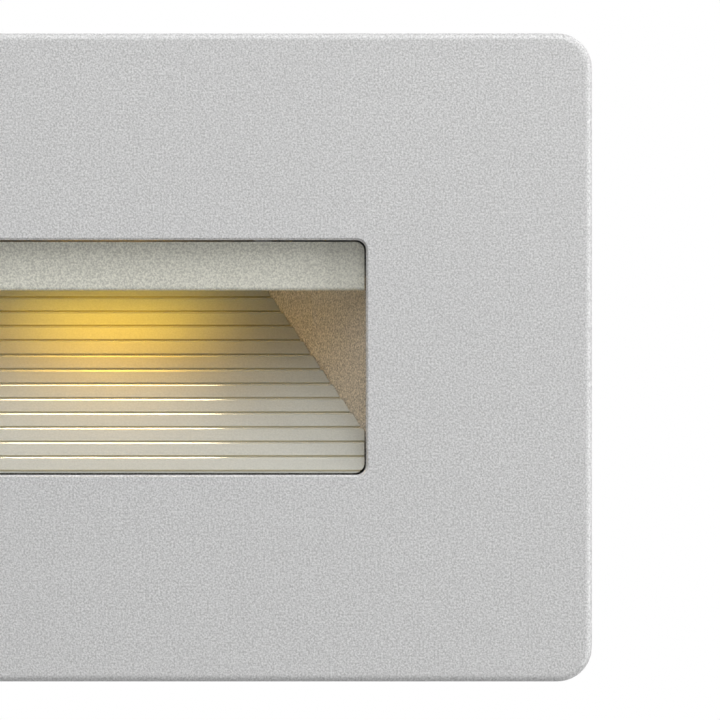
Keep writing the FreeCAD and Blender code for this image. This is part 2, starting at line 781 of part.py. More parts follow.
def make_rear_gasket():
    """A seal on the housing's rear rim that passes inside the screws at the corners."""
    body = new_body("rear_gasket")
    ring = Profile(body, "Ring", "XZ_Plane", size.housing_depth)
    reach = size.post_r + size.rear_gasket_clear
    inside = size.screw_r + size.fit_gap * 2
    ring.outline(notched_corners(cavity_w / 2, cavity_h / 2, post_x - reach, post_z - reach))
    ring.outline(notched_corners(
        housing_w / 2, housing_h / 2, post_x - inside, post_z - inside
    ))
    ring.pad(cover_front)
    return body


def make_rear_cover():
    body = new_body("rear_cover")
    plate = Profile(body, "Plate", "XZ_Plane", cover_front)
    plate.rectangle(0, 0, housing_w, housing_h, size.housing_corner)
    for across in both_sides(post_x):
        for along in both_sides(post_z):
            plate.circle(across, along, size.screw_r + size.fit_gap)
    plate.circle(0, size.grommet_z, size.grommet_bore + size.grommet_wall + size.fit_gap)
    plate.circle(-size.ground_x, -size.ground_z, size.screw_r + size.fit_gap / 2)
    plate.pad(cover_back)
    return body


def make_lead_grommet():
    body = new_body("lead_grommet")
    turned = Profile(body, "Turned", "XY_Plane", size.grommet_z)
    turned.axis((0, cover_front), (0, cover_back))
    bore = size.grommet_bore
    neck = bore + size.grommet_wall
    flange = neck + size.grommet_flange
    inner_face = cover_front - size.fit_gap
    outer_face = cover_back + size.fit_gap
    turned.outline([
        (bore, inner_face - size.grommet_flange),
        (flange, inner_face - size.grommet_flange),
        (flange, inner_face),
        (neck, inner_face),
        (neck, outer_face),
        (flange, outer_face),
        (flange - size.grommet_flange / 2, outer_face + size.grommet_flange),
        (bore, outer_face + size.grommet_flange),
    ])
    turned.revolve()
    return body


def make_step_reflector():
    """Stairs on a slab that climbs away from the viewer, narrowed by the splayed sides."""
    body = new_body("step_reflector")
    top = chamber_top - size.fit_gap
    slab = Profile(body, "Slab", "YZ_Plane")
    slab.outline([
        (first_nose_y, reflector_low),
        (slope_depth(reflector_low, reflector_below), reflector_low),
        (slope_depth(top, reflector_below), top),
        (slope_depth(top, crevice_below), top),
        (first_nose_y + size.step_ledge + size.step_undercut, first_nose_z),
        (first_nose_y, first_nose_z),
    ])
    slab.pad_both_ways(size.reflector_w)
    step = Profile(body, "Step", "YZ_Plane")
    foot = first_nose_y + size.step_ledge
    groove = foot + size.step_undercut
    nose_z = first_nose_z + size.step_rise
    sunk = size.step_going / 5
    step.axis((foot, first_nose_z), (foot + size.step_going, nose_z))
    step.outline([
        (groove, first_nose_z),
        (foot, first_nose_z + size.step_lip),
        (first_nose_y + size.step_going, nose_z, size.step_nose),
        (groove + size.step_going, nose_z),
        (groove + size.step_going + sunk, nose_z - sunk),
        (groove + sunk, first_nose_z - sunk),
    ])
    tooth = step.pad_both_ways(size.reflector_w)
    pitch = root(size.step_rise * size.step_rise + size.step_going * size.step_going)
    repeat_along(tooth, step, pitch, size.step_count - 1)
    bosses = Profile(body, "Bosses", "XZ_Plane", size.reflector_boss_end)
    drills = Profile(body, "BossHoles", "XZ_Plane", size.reflector_boss_end)
    boss_start = slope_depth(size.reflector_boss_z + size.reflector_boss_r, crevice_below)
    for across in both_sides(size.reflector_boss_x):
        bosses.circle(across, size.reflector_boss_z, size.reflector_boss_r)
        drills.circle(across, size.reflector_boss_z, size.small_screw_r + size.fit_gap / 2)
    bosses.pad(boss_start + size.fit_gap)
    drills.pocket(boss_start + 1)
    trim = Profile(body, "SideTrim", "XY_Plane", reflector_low - 1)
    beyond = slope_depth(top, reflector_below) + 1
    edge = size.reflector_w / 2
    for side in (1, -1):
        trim.outline([
            (side * splay_half(chamber_front, -size.fit_gap), chamber_front),
            (side * (edge + 1), chamber_front),
            (side * (edge + 1), beyond),
            (side * splay_half(beyond, -size.fit_gap), beyond),
        ])
    trim.pocket(top + 1)
    corners = Profile(body, "CornerTrim", "XZ_Plane", first_nose_y - 1)
    cut = size.aperture_corner
    for side in (1, -1):
        corners.outline([
            (side * (edge - 2 * cut), reflector_low - 1),
            (side * (edge - 2 * cut), reflector_low),
            (side * edge, reflector_low, cut),
            (side * edge, reflector_low + 2 * cut),
            (side * (edge + 1), reflector_low + 2 * cut),
            (side * (edge + 1), reflector_low - 1),
        ])
    corners.pocket(chamber_front)
    under = Profile(body, "UnderTrim", "XY_Plane", reflector_low - 1)
    tail = slope_depth(reflector_low, reflector_below)
    under.span(-edge - 1, edge + 1, first_nose_y - 1, tail)
    under.pocket(reflector_low)
    return body


def make_light_chamber():
    """Splayed side walls and a sloping floor that carry the reflector behind the frame."""
    body = new_body("light_chamber")
    floor = Profile(body, "Floor", "YZ_Plane")
    floor.outline([
        (chamber_front, chamber_low),
        (slope_depth(chamber_low, underside_below), chamber_low),
        (chamber_rear, chamber_top),
        (slope_depth(chamber_top, floor_below), chamber_top),
        (chamber_front, slope_height(chamber_front, floor_below)),
    ])
    floor.pad_both_ways(2 * splay_half(chamber_front, wall_across))
    walls = Profile(body, "Walls", "XY_Plane", chamber_low)
    outside = Profile(body, "Outside", "XY_Plane", chamber_low - 1)
    past = chamber_rear + 1
    clear = housing_w / 2
    for side in (1, -1):
        walls.outline([
            (side * splay_half(chamber_front), chamber_front),
            (side * splay_half(chamber_front, wall_across), chamber_front),
            (side * splay_half(chamber_rear, wall_across), chamber_rear),
            (side * splay_half(chamber_rear), chamber_rear),
        ])
        outside.outline([
            (side * splay_half(chamber_front, wall_across), chamber_front),
            (side * clear, chamber_front),
            (side * clear, past),
            (side * splay_half(past, wall_across), past),
        ])
    walls.pad(chamber_top)
    outside.pocket(chamber_top + 1)
    # The lip that fills the frame's opening stays narrow; behind it the walls follow the floor.
    lip_trim = Profile(body, "LipTrim", "XY_Plane", chamber_low - 1)
    for side in (1, -1):
        lip_trim.outline([
            (side * (opening_half - size.fit_gap), chamber_front - 1),
            (side * (opening_half + 1), chamber_front - 1),
            (side * (opening_half + 1), size.fit_gap),
            (side * (opening_half - size.fit_gap), size.fit_gap),
        ])
    lip_trim.pocket(chamber_top + 1)
    under = Profile(body, "UnderFloor", "YZ_Plane")
    under.outline([
        (size.flange_t, chamber_low - 1),
        (past, chamber_low - 1),
        (past, slope_height(past, underside_below)),
        (size.flange_t, slope_height(size.flange_t, underside_below)),
    ])
    under.pocket_both_ways(2 * clear)
    flange = Profile(body, "Flange", "XZ_Plane", 0)
    flange_low = -(cavity_h / 2) + size.fit_gap * 2
    flange_high = slope_height(0, underside_below) + size.flange_t
    flange_half = cavity_w / 2 - size.fit_gap * 2
    corner = (size.housing_corner - size.housing_wall) * 0.6
    flange.outline([
        (-flange_half + corner, flange_low),
        (flange_half - corner, flange_low),
        (flange_half, flange_low + corner),
        (flange_half, flange_high),
        (-flange_half, flange_high),
        (-flange_half, flange_low + corner),
    ])
    for across in both_sides(post_x):
        flange.circle(across, -post_z, size.screw_r + size.fit_gap)
    flange.pad(size.flange_t)
    sleeve_r = size.reflector_boss_r + size.fit_gap * 2 + size.chamber_wall
    sleeves = Profile(body, "Sleeves", "XZ_Plane", size.reflector_boss_end)
    bores = Profile(body, "SleeveBores", "XZ_Plane", size.reflector_boss_end)
    for across in both_sides(size.reflector_boss_x):
        sleeves.circle(across, size.reflector_boss_z, sleeve_r)
        bores.circle(across, size.reflector_boss_z, size.reflector_boss_r + size.fit_gap * 2)
    sleeve_top = size.reflector_boss_z + sleeve_r + size.fit_gap
    sleeves.pad(size.flange_t)
    face = Profile(body, "FloorFace", "YZ_Plane")
    face.outline([
        (chamber_front, slope_height(chamber_front, floor_below)),
        (slope_depth(sleeve_top, floor_below), sleeve_top),
        (chamber_front, sleeve_top),
    ])
    face.pocket_both_ways(2 * (size.reflector_boss_x + sleeve_r))
    bores.pocket(chamber_front)
    bosses = Profile(body, "HoodBosses", "XY_Plane", chamber_top)
    drills = Profile(body, "HoodBossHoles", "XY_Plane", chamber_top)
    for across in both_sides(hood_boss_x):
        bosses.circle(across, size.hood_boss_y, size.hood_boss_r)
        drills.circle(across, size.hood_boss_y, size.small_screw_r + size.fit_gap / 2)
    bosses.pad(chamber_top - size.hood_boss_len)
    drills.pocket(chamber_top - size.hood_boss_len + 1)
    return body


def make_glare_hood():
    """A blade across the top of the opening, with a web that carries the lens."""
    body = new_body("glare_hood")
    blade_front = plate_front + size.blade_recess
    blade_back = blade_front + size.blade_t
    blade_low = web_low - size.blade_drop
    blade_high = blade_low + size.blade_h
    half = size.reflector_w / 2
    blade = Profile(body, "Blade", "XZ_Plane", blade_front)
    upper = size.aperture_corner - size.fit_gap
    blade.outline([
        (-half, blade_low),
        (half, blade_low),
        (half, blade_high, upper),
        (-half, blade_high, upper),
    ])
    blade.pad(blade_back)
    round_edges(
        body, "BladeRounding", size.blade_edge_round,
        depth=(blade_front, blade_front), height=(blade_low, blade_low),
    )
    web = Profile(body, "Web", "XY_Plane", web_low)
    seat = wall_across - size.fit_gap * 2
    neck = chamber_front + size.fit_gap
    shoulder = opening_half - size.fit_gap
    right_side = [
        (half, blade_back - size.blade_t / 2),
        (half, neck),
        (shoulder, neck),
        (shoulder, size.fit_gap),
        (splay_half(size.fit_gap, seat), size.fit_gap),
        (splay_half(size.web_back, seat), size.web_back),
    ]
    web.outline(right_side + [(-across, along) for across, along in reversed(right_side)])
    web.pad(web_high)
    ears = Profile(body, "Ears", "XY_Plane", web_low)
    ear_holes = Profile(body, "EarHoles", "XY_Plane", web_low)
    for across in both_sides(hood_boss_x):
        ears.circle(across, size.hood_boss_y, size.hood_boss_r)
        ear_holes.circle(across, size.hood_boss_y, size.small_screw_r + size.fit_gap)
    ears.pad(web_high)
    ear_holes.pocket(web_high)
    rebate = Profile(body, "Rebate", "XY_Plane", web_high)
    clearance = 4 * size.fit_gap
    rebate.rectangle(0, size.lens_y, size.lens_w + clearance, size.lens_d + clearance)
    rebate.pocket(lens_low)
    window = Profile(body, "Window", "XY_Plane", lens_low)
    ledge = 2 * size.lens_land
    window.rectangle(0, size.lens_y, size.lens_w - 2 * ledge, size.lens_d - ledge)
    window.pocket(web_low)
    return body


def make_lens():
    body = new_body("lens")
    pane = Profile(body, "Pane", "XY_Plane", lens_low)
    pane.rectangle(0, size.lens_y, size.lens_w, size.lens_d)
    pane.pad(lens_high)
    return body


def make_lens_gasket():
    body = new_body("lens_gasket")
    ring = Profile(body, "Ring", "XY_Plane", lens_high)
    ledge = 2 * size.lens_land
    ring.rectangle(0, size.lens_y, size.lens_w, size.lens_d)
    ring.rectangle(0, size.lens_y, size.lens_w - 2 * ledge, size.lens_d - ledge)
    ring.pad(led_board_low)
    return body


def make_led_emitter():
    body = new_body("led_emitter")
    package = Profile(body, "Package", "XY_Plane", led_board_low)
    package.rectangle(0, size.lens_y, size.emitter_w, size.emitter_w)
    package.pad(led_board_low - size.emitter_t)
    return body


def make_led_board():
    body = new_body("led_board")
    board = Profile(body, "Board", "XY_Plane", led_board_low)
    board.rectangle(0, size.lens_y, size.led_board_w, size.led_board_d)
    for across in both_sides(led_screw_x):
        board.circle(across, size.lens_y, size.small_screw_r + size.fit_gap)
    board.pad(led_board_high)
    return body


def make_thermal_pad():
    """Fills the space between the emitter's board and the heat sink, between the screws."""
    body = new_body("thermal_pad")
    pad = Profile(body, "Pad", "XY_Plane", led_board_high)
    width = 2 * (led_screw_x - size.small_head_r)
    pad.rectangle(0, size.lens_y, width, size.led_board_d)
    pad.pad(sink_low)
    return body


def make_heat_sink():
    body = new_body("heat_sink")
    block = Profile(body, "Block", "XY_Plane", sink_low)
    half = cavity_w / 2 - size.sink_side_in
    block.span(-half, half, size.sink_front, size.sink_back)
    block.pad(sink_high)
    fin_floor = sink_low + size.sink_base
    middle_slot = Profile(body, "Slot", "XZ_Plane", size.sink_front - 1)
    middle_slot.axis((-2 * size.fin_pitch, fin_floor), (2 * size.fin_pitch, fin_floor))
    left = -2 * size.fin_pitch
    middle_slot.span(left - size.fin_gap / 2, left + size.fin_gap / 2, fin_floor, sink_high + 1)
    slot = middle_slot.pocket(size.sink_back + 1)
    repeat_along(slot, middle_slot, size.fin_pitch, as_size(5))
    outer_slots = Profile(body, "OuterSlots", "XZ_Plane", size.sink_front - 1)
    for across in both_sides(half - size.fin_pitch):
        outer_slots.span(
            across - size.fin_gap / 2, across + size.fin_gap / 2, fin_floor, sink_high + 1
        )
    outer_slots.pocket(size.sink_back + 1)
    holes = Profile(body, "Holes", "XY_Plane", sink_low)
    for across in both_sides(led_screw_x):
        holes.circle(across, size.lens_y, size.small_screw_r + size.fit_gap)
    holes.pocket(sink_high)
    return body


def make_led_lead():
    """A flat two-core lead from the emitter's board over the hood and down to its terminal."""
    body = new_body("led_lead")
    route = Profile(body, "Route", "YZ_Plane", size.lead_x)
    level = led_board_low - size.lead_t / 2 - size.fit_gap
    start = size.lens_y + size.led_board_d / 2 - 1.2
    route.outline([
        (start, level),
        (lead_y, level, size.lead_bend),
        (lead_y, board_high + size.terminal_h + size.fit_gap),
    ], closed=False)
    section = Profile(body, "Section", "XZ_Plane", start)
    section.rectangle(size.lead_x, level, size.lead_w, size.lead_t)
    pipe = body.newObject("PartDesign::AdditivePipe", "Lead")
    pipe.Profile = section.sketch
    pipe.Spine = (route.sketch, [])
    return body


def make_driver_board():
    body = new_body("driver_board")
    board = Profile(body, "Board", "XY_Plane", board_low)
    board.span(-board_half, board_half, size.board_front, size.board_back)
    for across, along in board_screws:
        board.circle(across, along, size.small_screw_r + size.fit_gap)
    board.pad(board_high)
    return body


def make_transformer_core():
    body = new_body("transformer_core")
    block = Profile(body, "Block", "XY_Plane", board_high)
    block.rectangle(size.transformer_x, transformer_y, size.core_w, size.core_d)
    block.pad(board_high + size.core_h)
    windows = Profile(body, "Windows", "XZ_Plane", transformer_y)
    for side in (1, -1):
        window_x = size.transformer_x + side * (size.core_limb + size.core_window) / 2
        windows.span(
            window_x - size.core_window / 2,
            window_x + size.core_window / 2,
            board_high + size.core_yoke,
            board_high + size.core_h - size.core_yoke,
        )
    windows.pocket_both_ways(size.core_d + 2)
    return body


def make_transformer_winding():
    body = new_body("transformer_winding")
    low = board_high + size.core_yoke
    winding = Profile(body, "Winding", "XY_Plane", low)
    gap = 2 * size.fit_gap
    thick = 2 * size.core_window - 2 * gap
    inner_w = size.core_limb + gap
    inner_d = size.core_d + gap
    winding.rectangle(
        size.transformer_x, transformer_y, inner_w + thick, inner_d + thick, size.core_window
    )
    winding.rectangle(size.transformer_x, transformer_y, inner_w, inner_d)
    winding.pad(board_high + size.core_h - size.core_yoke - size.fit_gap)
    return body


def make_capacitor(label, across, along, radius, height):
    body = new_body(label)
    can = Profile(body, "Can", "XY_Plane", board_high)
    can.circle(across, along, radius)
    can.pad(board_high + height)
    return body


def make_driver_chips():
    """The controller and the power switch, side by side near the board's front edge."""
    body = new_body("driver_chips")
    along = size.board_front + size.chip_in
    controller = Profile(body, "Controller", "XY_Plane", board_high)
    controller.rectangle(size.chip_x, along, size.chip_w, size.chip_d)
    controller.pad(board_high + size.chip_h)
    switch = Profile(body, "Switch", "XY_Plane", board_high)
    switch.rectangle(0, along, size.switch_w, size.switch_d)
    switch.pad(board_high + size.switch_h)
    return body


def make_terminal(label, across, along):
    """A two-way terminal block with a wire entry for each way in its front face."""
    body = new_body(label)
    width = 2 * (size.terminal_pitch + size.terminal_wall)
    front = along - size.terminal_d / 2
    block = Profile(body, "Block", "XY_Plane", board_high)
    block.rectangle(across, along, width, size.terminal_d)
    block.pad(board_high + size.terminal_h)
    entries = Profile(body, "Entries", "XZ_Plane", front)
    entry = size.terminal_pitch - size.terminal_wall * 2
    for middle in (across - size.terminal_pitch / 2, across + size.terminal_pitch / 2):
        entries.rectangle(middle, board_high + size.terminal_h / 2, entry, entry)
    entries.pocket(front + size.terminal_d / 2)
    return body


def make_round_part(label, along, radius, left, right):
    """A round part that lies on the driver board with its axis across."""
    body = new_body(label)
    disc = Profile(body, "Disc", "YZ_Plane", left)
    disc.circle(along, board_high + radius, radius)
    disc.pad(right)
    return body


# Build every sub-part.
make_face_plate()
make_wall_gasket()
make_set_screws()
make_mounting_frame()
make_housing()
make_rear_gasket()
make_rear_cover()
make_lead_grommet()
make_step_reflector()
make_light_chamber()
make_glare_hood()
make_lens()
make_lens_gasket()
make_led_emitter()
make_led_board()
make_thermal_pad()
make_heat_sink()
make_led_lead()
make_driver_board()
make_transformer_core()
make_transformer_winding()
make_capacitor(
    "large_capacitor", size.capacitor_x, large_cap_y, size.large_cap_r, size.large_cap_h
)
make_capacitor(
    "small_capacitor", size.capacitor_x, small_cap_y, size.small_cap_r, size.small_cap_h
)
make_driver_chips()
make_terminal("output_terminal", size.lead_x, lead_y)
make_terminal(
    "input_terminal", size.input_terminal_x, size.board_back - size.input_terminal_in
)
make_round_part(
    "surge_disc", size.board_back - size.disc_in, size.disc_r,
    size.disc_x - size.disc_t / 2, size.disc_x + size.disc_t / 2,
)
fuse_left = -board_half + size.fuse_side_in
make_round_part(
    "fuse_resistor", size.board_front + size.fuse_in, size.fuse_r,
    fuse_left, fuse_left + size.fuse_len,
)

post_places = [(across, along) for across in both_sides(post_x) for along in both_sides(post_z)]
screws(
    "frame_screws", "XZ_Plane", post_places, frame_front, size.screw_depth,
    size.screw_r, size.screw_head_r, size.screw_head_t, -1,
)
screws(
    "rear_cover_screws", "XZ_Plane", post_places, cover_back,
    size.housing_depth - size.screw_depth,
    size.screw_r, size.screw_head_r, size.screw_head_t, 1,
)
screws(
    "ground_screw", "XZ_Plane", [(-size.ground_x, -size.ground_z)], cover_back,
    cover_front - size.ground_screw_len, size.screw_r, size.screw_head_r, size.screw_head_t, 1,
)
screws(
    "reflector_screws", "XZ_Plane",
    [(across, size.reflector_boss_z) for across in both_sides(size.reflector_boss_x)],
    size.reflector_boss_end, size.reflector_boss_end - size.reflector_screw_len,
    size.small_screw_r, size.reflector_boss_r + size.fit_gap * 2 + size.reflector_head_step,
    size.small_head_t, 1, hexagon=True,
)
screws(
    "hood_screws", "XY_Plane",
    [(across, size.hood_boss_y) for across in both_sides(hood_boss_x)],
    web_high, chamber_top - size.hood_boss_len + size.hood_screw_short,
    size.small_screw_r, size.small_head_r, size.small_head_t, 1, hexagon=True,
)
screws(
    "led_board_screws", "XY_Plane",
    [(across, size.lens_y) for across in both_sides(led_screw_x)],
    led_board_low, housing_h / 2 - size.fit_gap,
    size.small_screw_r, size.small_head_r, size.small_head_t, -1, hexagon=True,
)
screws(
    "driver_board_screws", "XY_Plane",
    board_screws, board_high, board_low - size.rail_h - size.housing_wall / 4,
    size.small_screw_r, size.small_head_r, size.small_head_t, 1, hexagon=True,
)

doc.recompute()


def check_document():
    """Stop before anything is written if an object failed or a cut missed its solid."""
    failed = [item for item in doc.Objects if "Invalid" in item.State or "Error" in item.State]
    if failed:
        raise RuntimeError(", ".join(f"{item.Label} {item.State}" for item in failed))
    for body in doc.findObjects("PartDesign::Body"):
        if body.Shape.isNull() or not body.Shape.isValid():
            raise RuntimeError(f"{body.Label} has no valid shape")
        volume = 0
        for feature in body.Group:
            if not feature.isDerivedFrom("PartDesign::Feature"):
                continue
            cuts = feature.isDerivedFrom("PartDesign::Pocket")
            if cuts and feature.Shape.Volume >= volume - 1e-6:
                raise RuntimeError(f"{body.Label}: {feature.Label} cut nothing")
            volume = feature.Shape.Volume


def write_parts():
    os.makedirs("parts", exist_ok=True)
    for body in doc.findObjects("PartDesign::Body"):
        body.Shape.exportStep(f"parts/{body.Label}.step")
        print(f"{body.Label}: {len(body.Shape.Solids)} solids, {body.Shape.Volume:.1f} mm3")


check_document()
write_parts()
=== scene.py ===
import math

import bpy
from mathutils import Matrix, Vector


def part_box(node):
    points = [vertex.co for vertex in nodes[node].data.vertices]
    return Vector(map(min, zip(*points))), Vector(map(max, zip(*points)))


# A recessed step light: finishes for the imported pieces, a plain studio and a long lens.
# All lengths are in metres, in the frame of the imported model.
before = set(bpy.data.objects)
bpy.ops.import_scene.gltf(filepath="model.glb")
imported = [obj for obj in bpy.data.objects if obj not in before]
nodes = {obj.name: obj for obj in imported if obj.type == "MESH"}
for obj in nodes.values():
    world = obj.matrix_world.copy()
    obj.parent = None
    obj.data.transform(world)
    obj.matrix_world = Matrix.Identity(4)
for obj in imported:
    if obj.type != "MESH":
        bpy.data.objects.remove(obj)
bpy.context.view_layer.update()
scene = bpy.context.scene
MM = 0.001


# Colours, in the linear units of the shaders.
def linear(level):
    """The linear value of a level as it is displayed, 0 to 255."""
    value = level / 255
    return value / 12.92 if value <= 0.04045 else ((value + 0.055) / 1.055) ** 2.4


def rgb(*levels):
    return tuple(linear(level) for level in levels)


def grey(level):
    return rgb(level, level, level)


def shade(colour, factor):
    """A colour made darker or paler, up to white."""
    return tuple(min(1.0, channel * factor) for channel in colour)


def tinted(colour, *factors):
    """A colour with each channel scaled by its own factor."""
    return tuple(channel * factor for channel, factor in zip(colour, factors))


PLATE_GREY = grey(206)
# The hood is a little paler than the plate: partly its own paint, partly painted light on the
# hood's shaded recess.
HOOD_WHITE = rgb(212, 211, 199)
CHAMBER_BUFF = rgb(201, 192, 178)
# The steps are darker than the plate: partly their own paint, partly painted shade inside the
# chamber.
STEP_WHITE = rgb(184, 184, 176)
ALUMINIUM = rgb(158, 159, 162)
STEEL = rgb(180, 182, 184)
SLEEVE_BLUE = rgb(34, 40, 66)
WARM = (1.0, 0.56, 0.03)
BEAM = (1.0, 0.71, 0.05)
GLINT = (1.0, 0.9, 0.68)


class Finish:
    """A procedural material whose patterns use the piece's own coordinates."""

    def __init__(self, name, roughness=0.5, metallic=0.0, **sockets):
        self.material = bpy.data.materials.new(name)
        self.material.use_nodes = True
        self.tree = self.material.node_tree
        self.shader = self.tree.nodes["Principled BSDF"]
        self.coordinates = self.node("ShaderNodeTexCoord").outputs
        self.set(Roughness=roughness, Metallic=metallic, **sockets)

    def node(self, kind, **settings):
        made = self.tree.nodes.new(kind)
        for name, value in settings.items():
            setattr(made, name, value)
        return made

    def feed(self, socket, value):
        """Link a node's output to a socket, or write a plain value on it."""
        if isinstance(value, bpy.types.NodeSocket):
            self.tree.links.new(value, socket)
        elif isinstance(value, tuple) and len(value) == 3 and socket.type == "RGBA":
            socket.default_value = (*value, 1)
        else:
            socket.default_value = value

    def set(self, **sockets):
        """Give the shader's sockets plain values or patterns."""
        for name, value in sockets.items():
            self.feed(self.shader.inputs[name.replace("_", " ")], value)

    def stretched(self, factors):
        """Coordinates in which a pattern is finer along an axis by that axis's factor."""
        mapping = self.node("ShaderNodeMapping")
        self.feed(mapping.inputs["Vector"], self.coordinates["Object"])
        self.feed(mapping.inputs["Scale"], factors)
        return mapping.outputs[0]

    def noise(self, grain, detail=2.0, rough=0.5, distortion=0.0, at=None):
        """Cloudy pattern, 0 to 1, with features about one grain across."""
        texture = self.node("ShaderNodeTexNoise")
        self.feed(texture.inputs["Vector"], at or self.coordinates["Object"])
        self.feed(texture.inputs["Scale"], 1 / grain)
        self.feed(texture.inputs["Detail"], detail)
        self.feed(texture.inputs["Roughness"], rough)
        self.feed(texture.inputs["Distortion"], distortion)
        return texture.outputs[0]

    def cells(self, pitch, output="Distance"):
        """Scattered cells: how many pitches to the nearest middle, or a colour for each."""
        texture = self.node("ShaderNodeTexVoronoi")
        self.feed(texture.inputs["Vector"], self.coordinates["Object"])
        self.feed(texture.inputs["Scale"], 1 / pitch)
        return texture.outputs[output]

    def channel(self, kind, value, name):
        """One channel of a vector or a colour."""
        split = self.node(kind)
        self.feed(split.inputs[0], value)
        return split.outputs[name]

    def along(self, axis):
        """The place along an axis of the piece."""
        return self.channel("ShaderNodeSeparateXYZ", self.coordinates["Object"], axis)

    def facing(self, axis):
        """How far the surface turns to an axis of the piece, from -1 to 1."""
        return self.channel("ShaderNodeSeparateXYZ", self.coordinates["Normal"], axis)

    def chances(self, pitch):
        """A chance value, 0 to 1, for each of the scattered cells."""
        return self.channel("ShaderNodeSeparateColor", self.cells(pitch, "Color"), "Red")

    def math(self, operation, first, second=0.0):
        node = self.node("ShaderNodeMath", operation=operation)
        self.feed(node.inputs[0], first)
        self.feed(node.inputs[1], second)
        return node.outputs[0]

    def span(self, value, start, end, low=0.0, high=1.0):
        """Map start..end to low..high, held at the ends."""
        mapped = self.node("ShaderNodeMapRange")
        self.feed(mapped.inputs["Value"], value)
        for name, number in zip(("From Min", "From Max", "To Min", "To Max"),
                                (start, end, low, high)):
            self.feed(mapped.inputs[name], number)
        return mapped.outputs[0]

    def spread(self, noise, low=0.0, high=1.0, half=0.2):
        """Map the band of values round 0.5, where a noise mostly lies, to low..high."""
        return self.span(noise, 0.5 - half, 0.5 + half, low, high)

    def mix(self, factor, first, second):
        """A colour between two others."""
        node = self.node("ShaderNodeMix", data_type="RGBA")
        self.feed(node.inputs[0], factor)
        self.feed(node.inputs[6], first)
        self.feed(node.inputs[7], second)
        return node.outputs[2]

    def shades(self, noise, colour, low, high, half=0.2):
        """A colour whose brightness goes from low to high times its own with a noise."""
        return self.mix(self.spread(noise, half=half), shade(colour, low), shade(colour, high))

    def specks(self, pitch, radius, share):
        """1 in a few small round specks, 0 elsewhere."""
        near = self.span(self.cells(pitch), radius / pitch, radius * 0.5 / pitch)
        chosen = self.math("LESS_THAN", self.chances(pitch), share)
        return self.math("MULTIPLY", near, chosen)

    def bump(self, height, depth, under=None):
        """Relief of a given depth, added to the relief under it."""
        node = self.node("ShaderNodeBump")
        self.feed(node.inputs["Height"], height)
        self.feed(node.inputs["Distance"], depth)
        if under is not None:
            self.feed(node.inputs["Normal"], under)
        return node.outputs[0]


def powder_coat(name, colour, contrast=0.26, roughness=0.42, shine=0.5, speck_share=0.12):
    """Sandy powder coat: fine grains over a slight orange peel, with rare dark specks."""
    made = Finish(name, roughness, Specular_IOR_Level=shine)
    sand = made.noise(grain=0.22 * MM, rough=0.6)
    peel = made.noise(grain=3.2 * MM, detail=1)
    cloud = made.noise(grain=26 * MM)
    tone = made.shades(sand, colour, 1 - contrast, 1 + contrast, half=0.16)
    tone = made.mix(made.spread(cloud, high=0.1, half=0.15), tone, shade(colour, 0.86))
    if speck_share:
        dark = made.specks(pitch=7.5 * MM, radius=0.2 * MM, share=speck_share)
        tone = made.mix(dark, tone, shade(colour, 0.25))
    made.set(Base_Color=tone)
    made.set(Roughness=made.spread(sand, roughness + 0.08, roughness - 0.06))
    relief = made.bump(peel, depth=0.05 * MM)
    made.set(Normal=made.bump(sand, depth=0.03 * MM, under=relief))
    return made.material


def satin_paint(name, colour):
    """Smooth grained paint, with a painted highlight on the noses and painted warm shade under
    them.
    """
    roughness, nose_polish, nose_metal = 0.36, 0.15, 0.6
    made = Finish(name, roughness, Specular_IOR_Level=0.15)
    grain = made.noise(grain=0.2 * MM, rough=0.6)
    drift = made.noise(grain=9 * MM)
    upward = made.facing("Z")
    nose = made.span(upward, 0.66, 0.72)
    under = made.span(upward, -0.3, -0.5)
    tone = made.shades(grain, colour, 0.93, 1.06, half=0.15)
    tone = made.mix(made.spread(drift, high=0.12, half=0.15), tone, shade(colour, 0.82))
    # Painted warm shade: the paint in the grooves under the noses is darker and browner.
    tone = made.mix(under, tone, tinted(colour, 0.85, 0.77, 0.62))
    # Painted highlight: the noses' paint is made paler, and partly metallic below, so the
    # glint lamp shows brightly on them.
    tone = made.mix(nose, tone, shade(colour, 1.6))
    made.set(Base_Color=tone, Metallic=made.math("MULTIPLY", nose, nose_metal))
    skin = made.spread(drift, roughness - 0.02, roughness + 0.03)
    made.set(Roughness=made.math("SUBTRACT", skin, made.math("MULTIPLY", nose, nose_polish)))
    made.set(Normal=made.bump(grain, depth=0.008 * MM))
    return made.material


def cast_metal(name, colour, roughness=0.5):
    """Die-cast metal: faint flow marks, fine pits and a matt skin."""
    made = Finish(name, roughness, metallic=0.75)
    flow = made.noise(grain=9 * MM, detail=4, distortion=0.7)
    skin = made.noise(grain=0.5 * MM, detail=3)
    pits = made.specks(pitch=1.9 * MM, radius=0.16 * MM, share=0.3)
    tone = made.shades(flow, colour, 0.9, 1.05)
    made.set(Base_Color=made.mix(pits, tone, shade(colour, 0.45)))
    made.set(Roughness=made.spread(flow, roughness - 0.08, roughness + 0.12))
    relief = made.bump(skin, depth=0.02 * MM)
    made.set(Normal=made.bump(pits, depth=-0.05 * MM, under=relief))
    return made.material


def plated_steel(name, colour, fineness, roughness):
    """Zinc plated steel: rolling lines, spangle and a faint warm and cool tint. The lines
    are finer along an axis by that axis's factor."""
    made = Finish(name, roughness, metallic=1.0)
    lines = made.noise(grain=0.35 * MM, detail=4, at=made.stretched(fineness))
    drift = made.noise(grain=8 * MM, detail=3, distortion=0.8)
    spangle = made.chances(pitch=2.4 * MM)
    warm, cool = shade(colour, 1.03), tinted(colour, 0.88, 0.93, 1.0)
    tone = made.mix(made.spread(drift, half=0.15), warm, cool)
    tone = made.mix(made.span(spangle, 0, 1, high=0.1), tone, shade(colour, 0.7))
    made.set(Base_Color=tone)
    made.set(Roughness=made.spread(lines, roughness - 0.07, roughness + 0.12))
    made.set(Normal=made.bump(lines, depth=0.006 * MM))
    return made.material


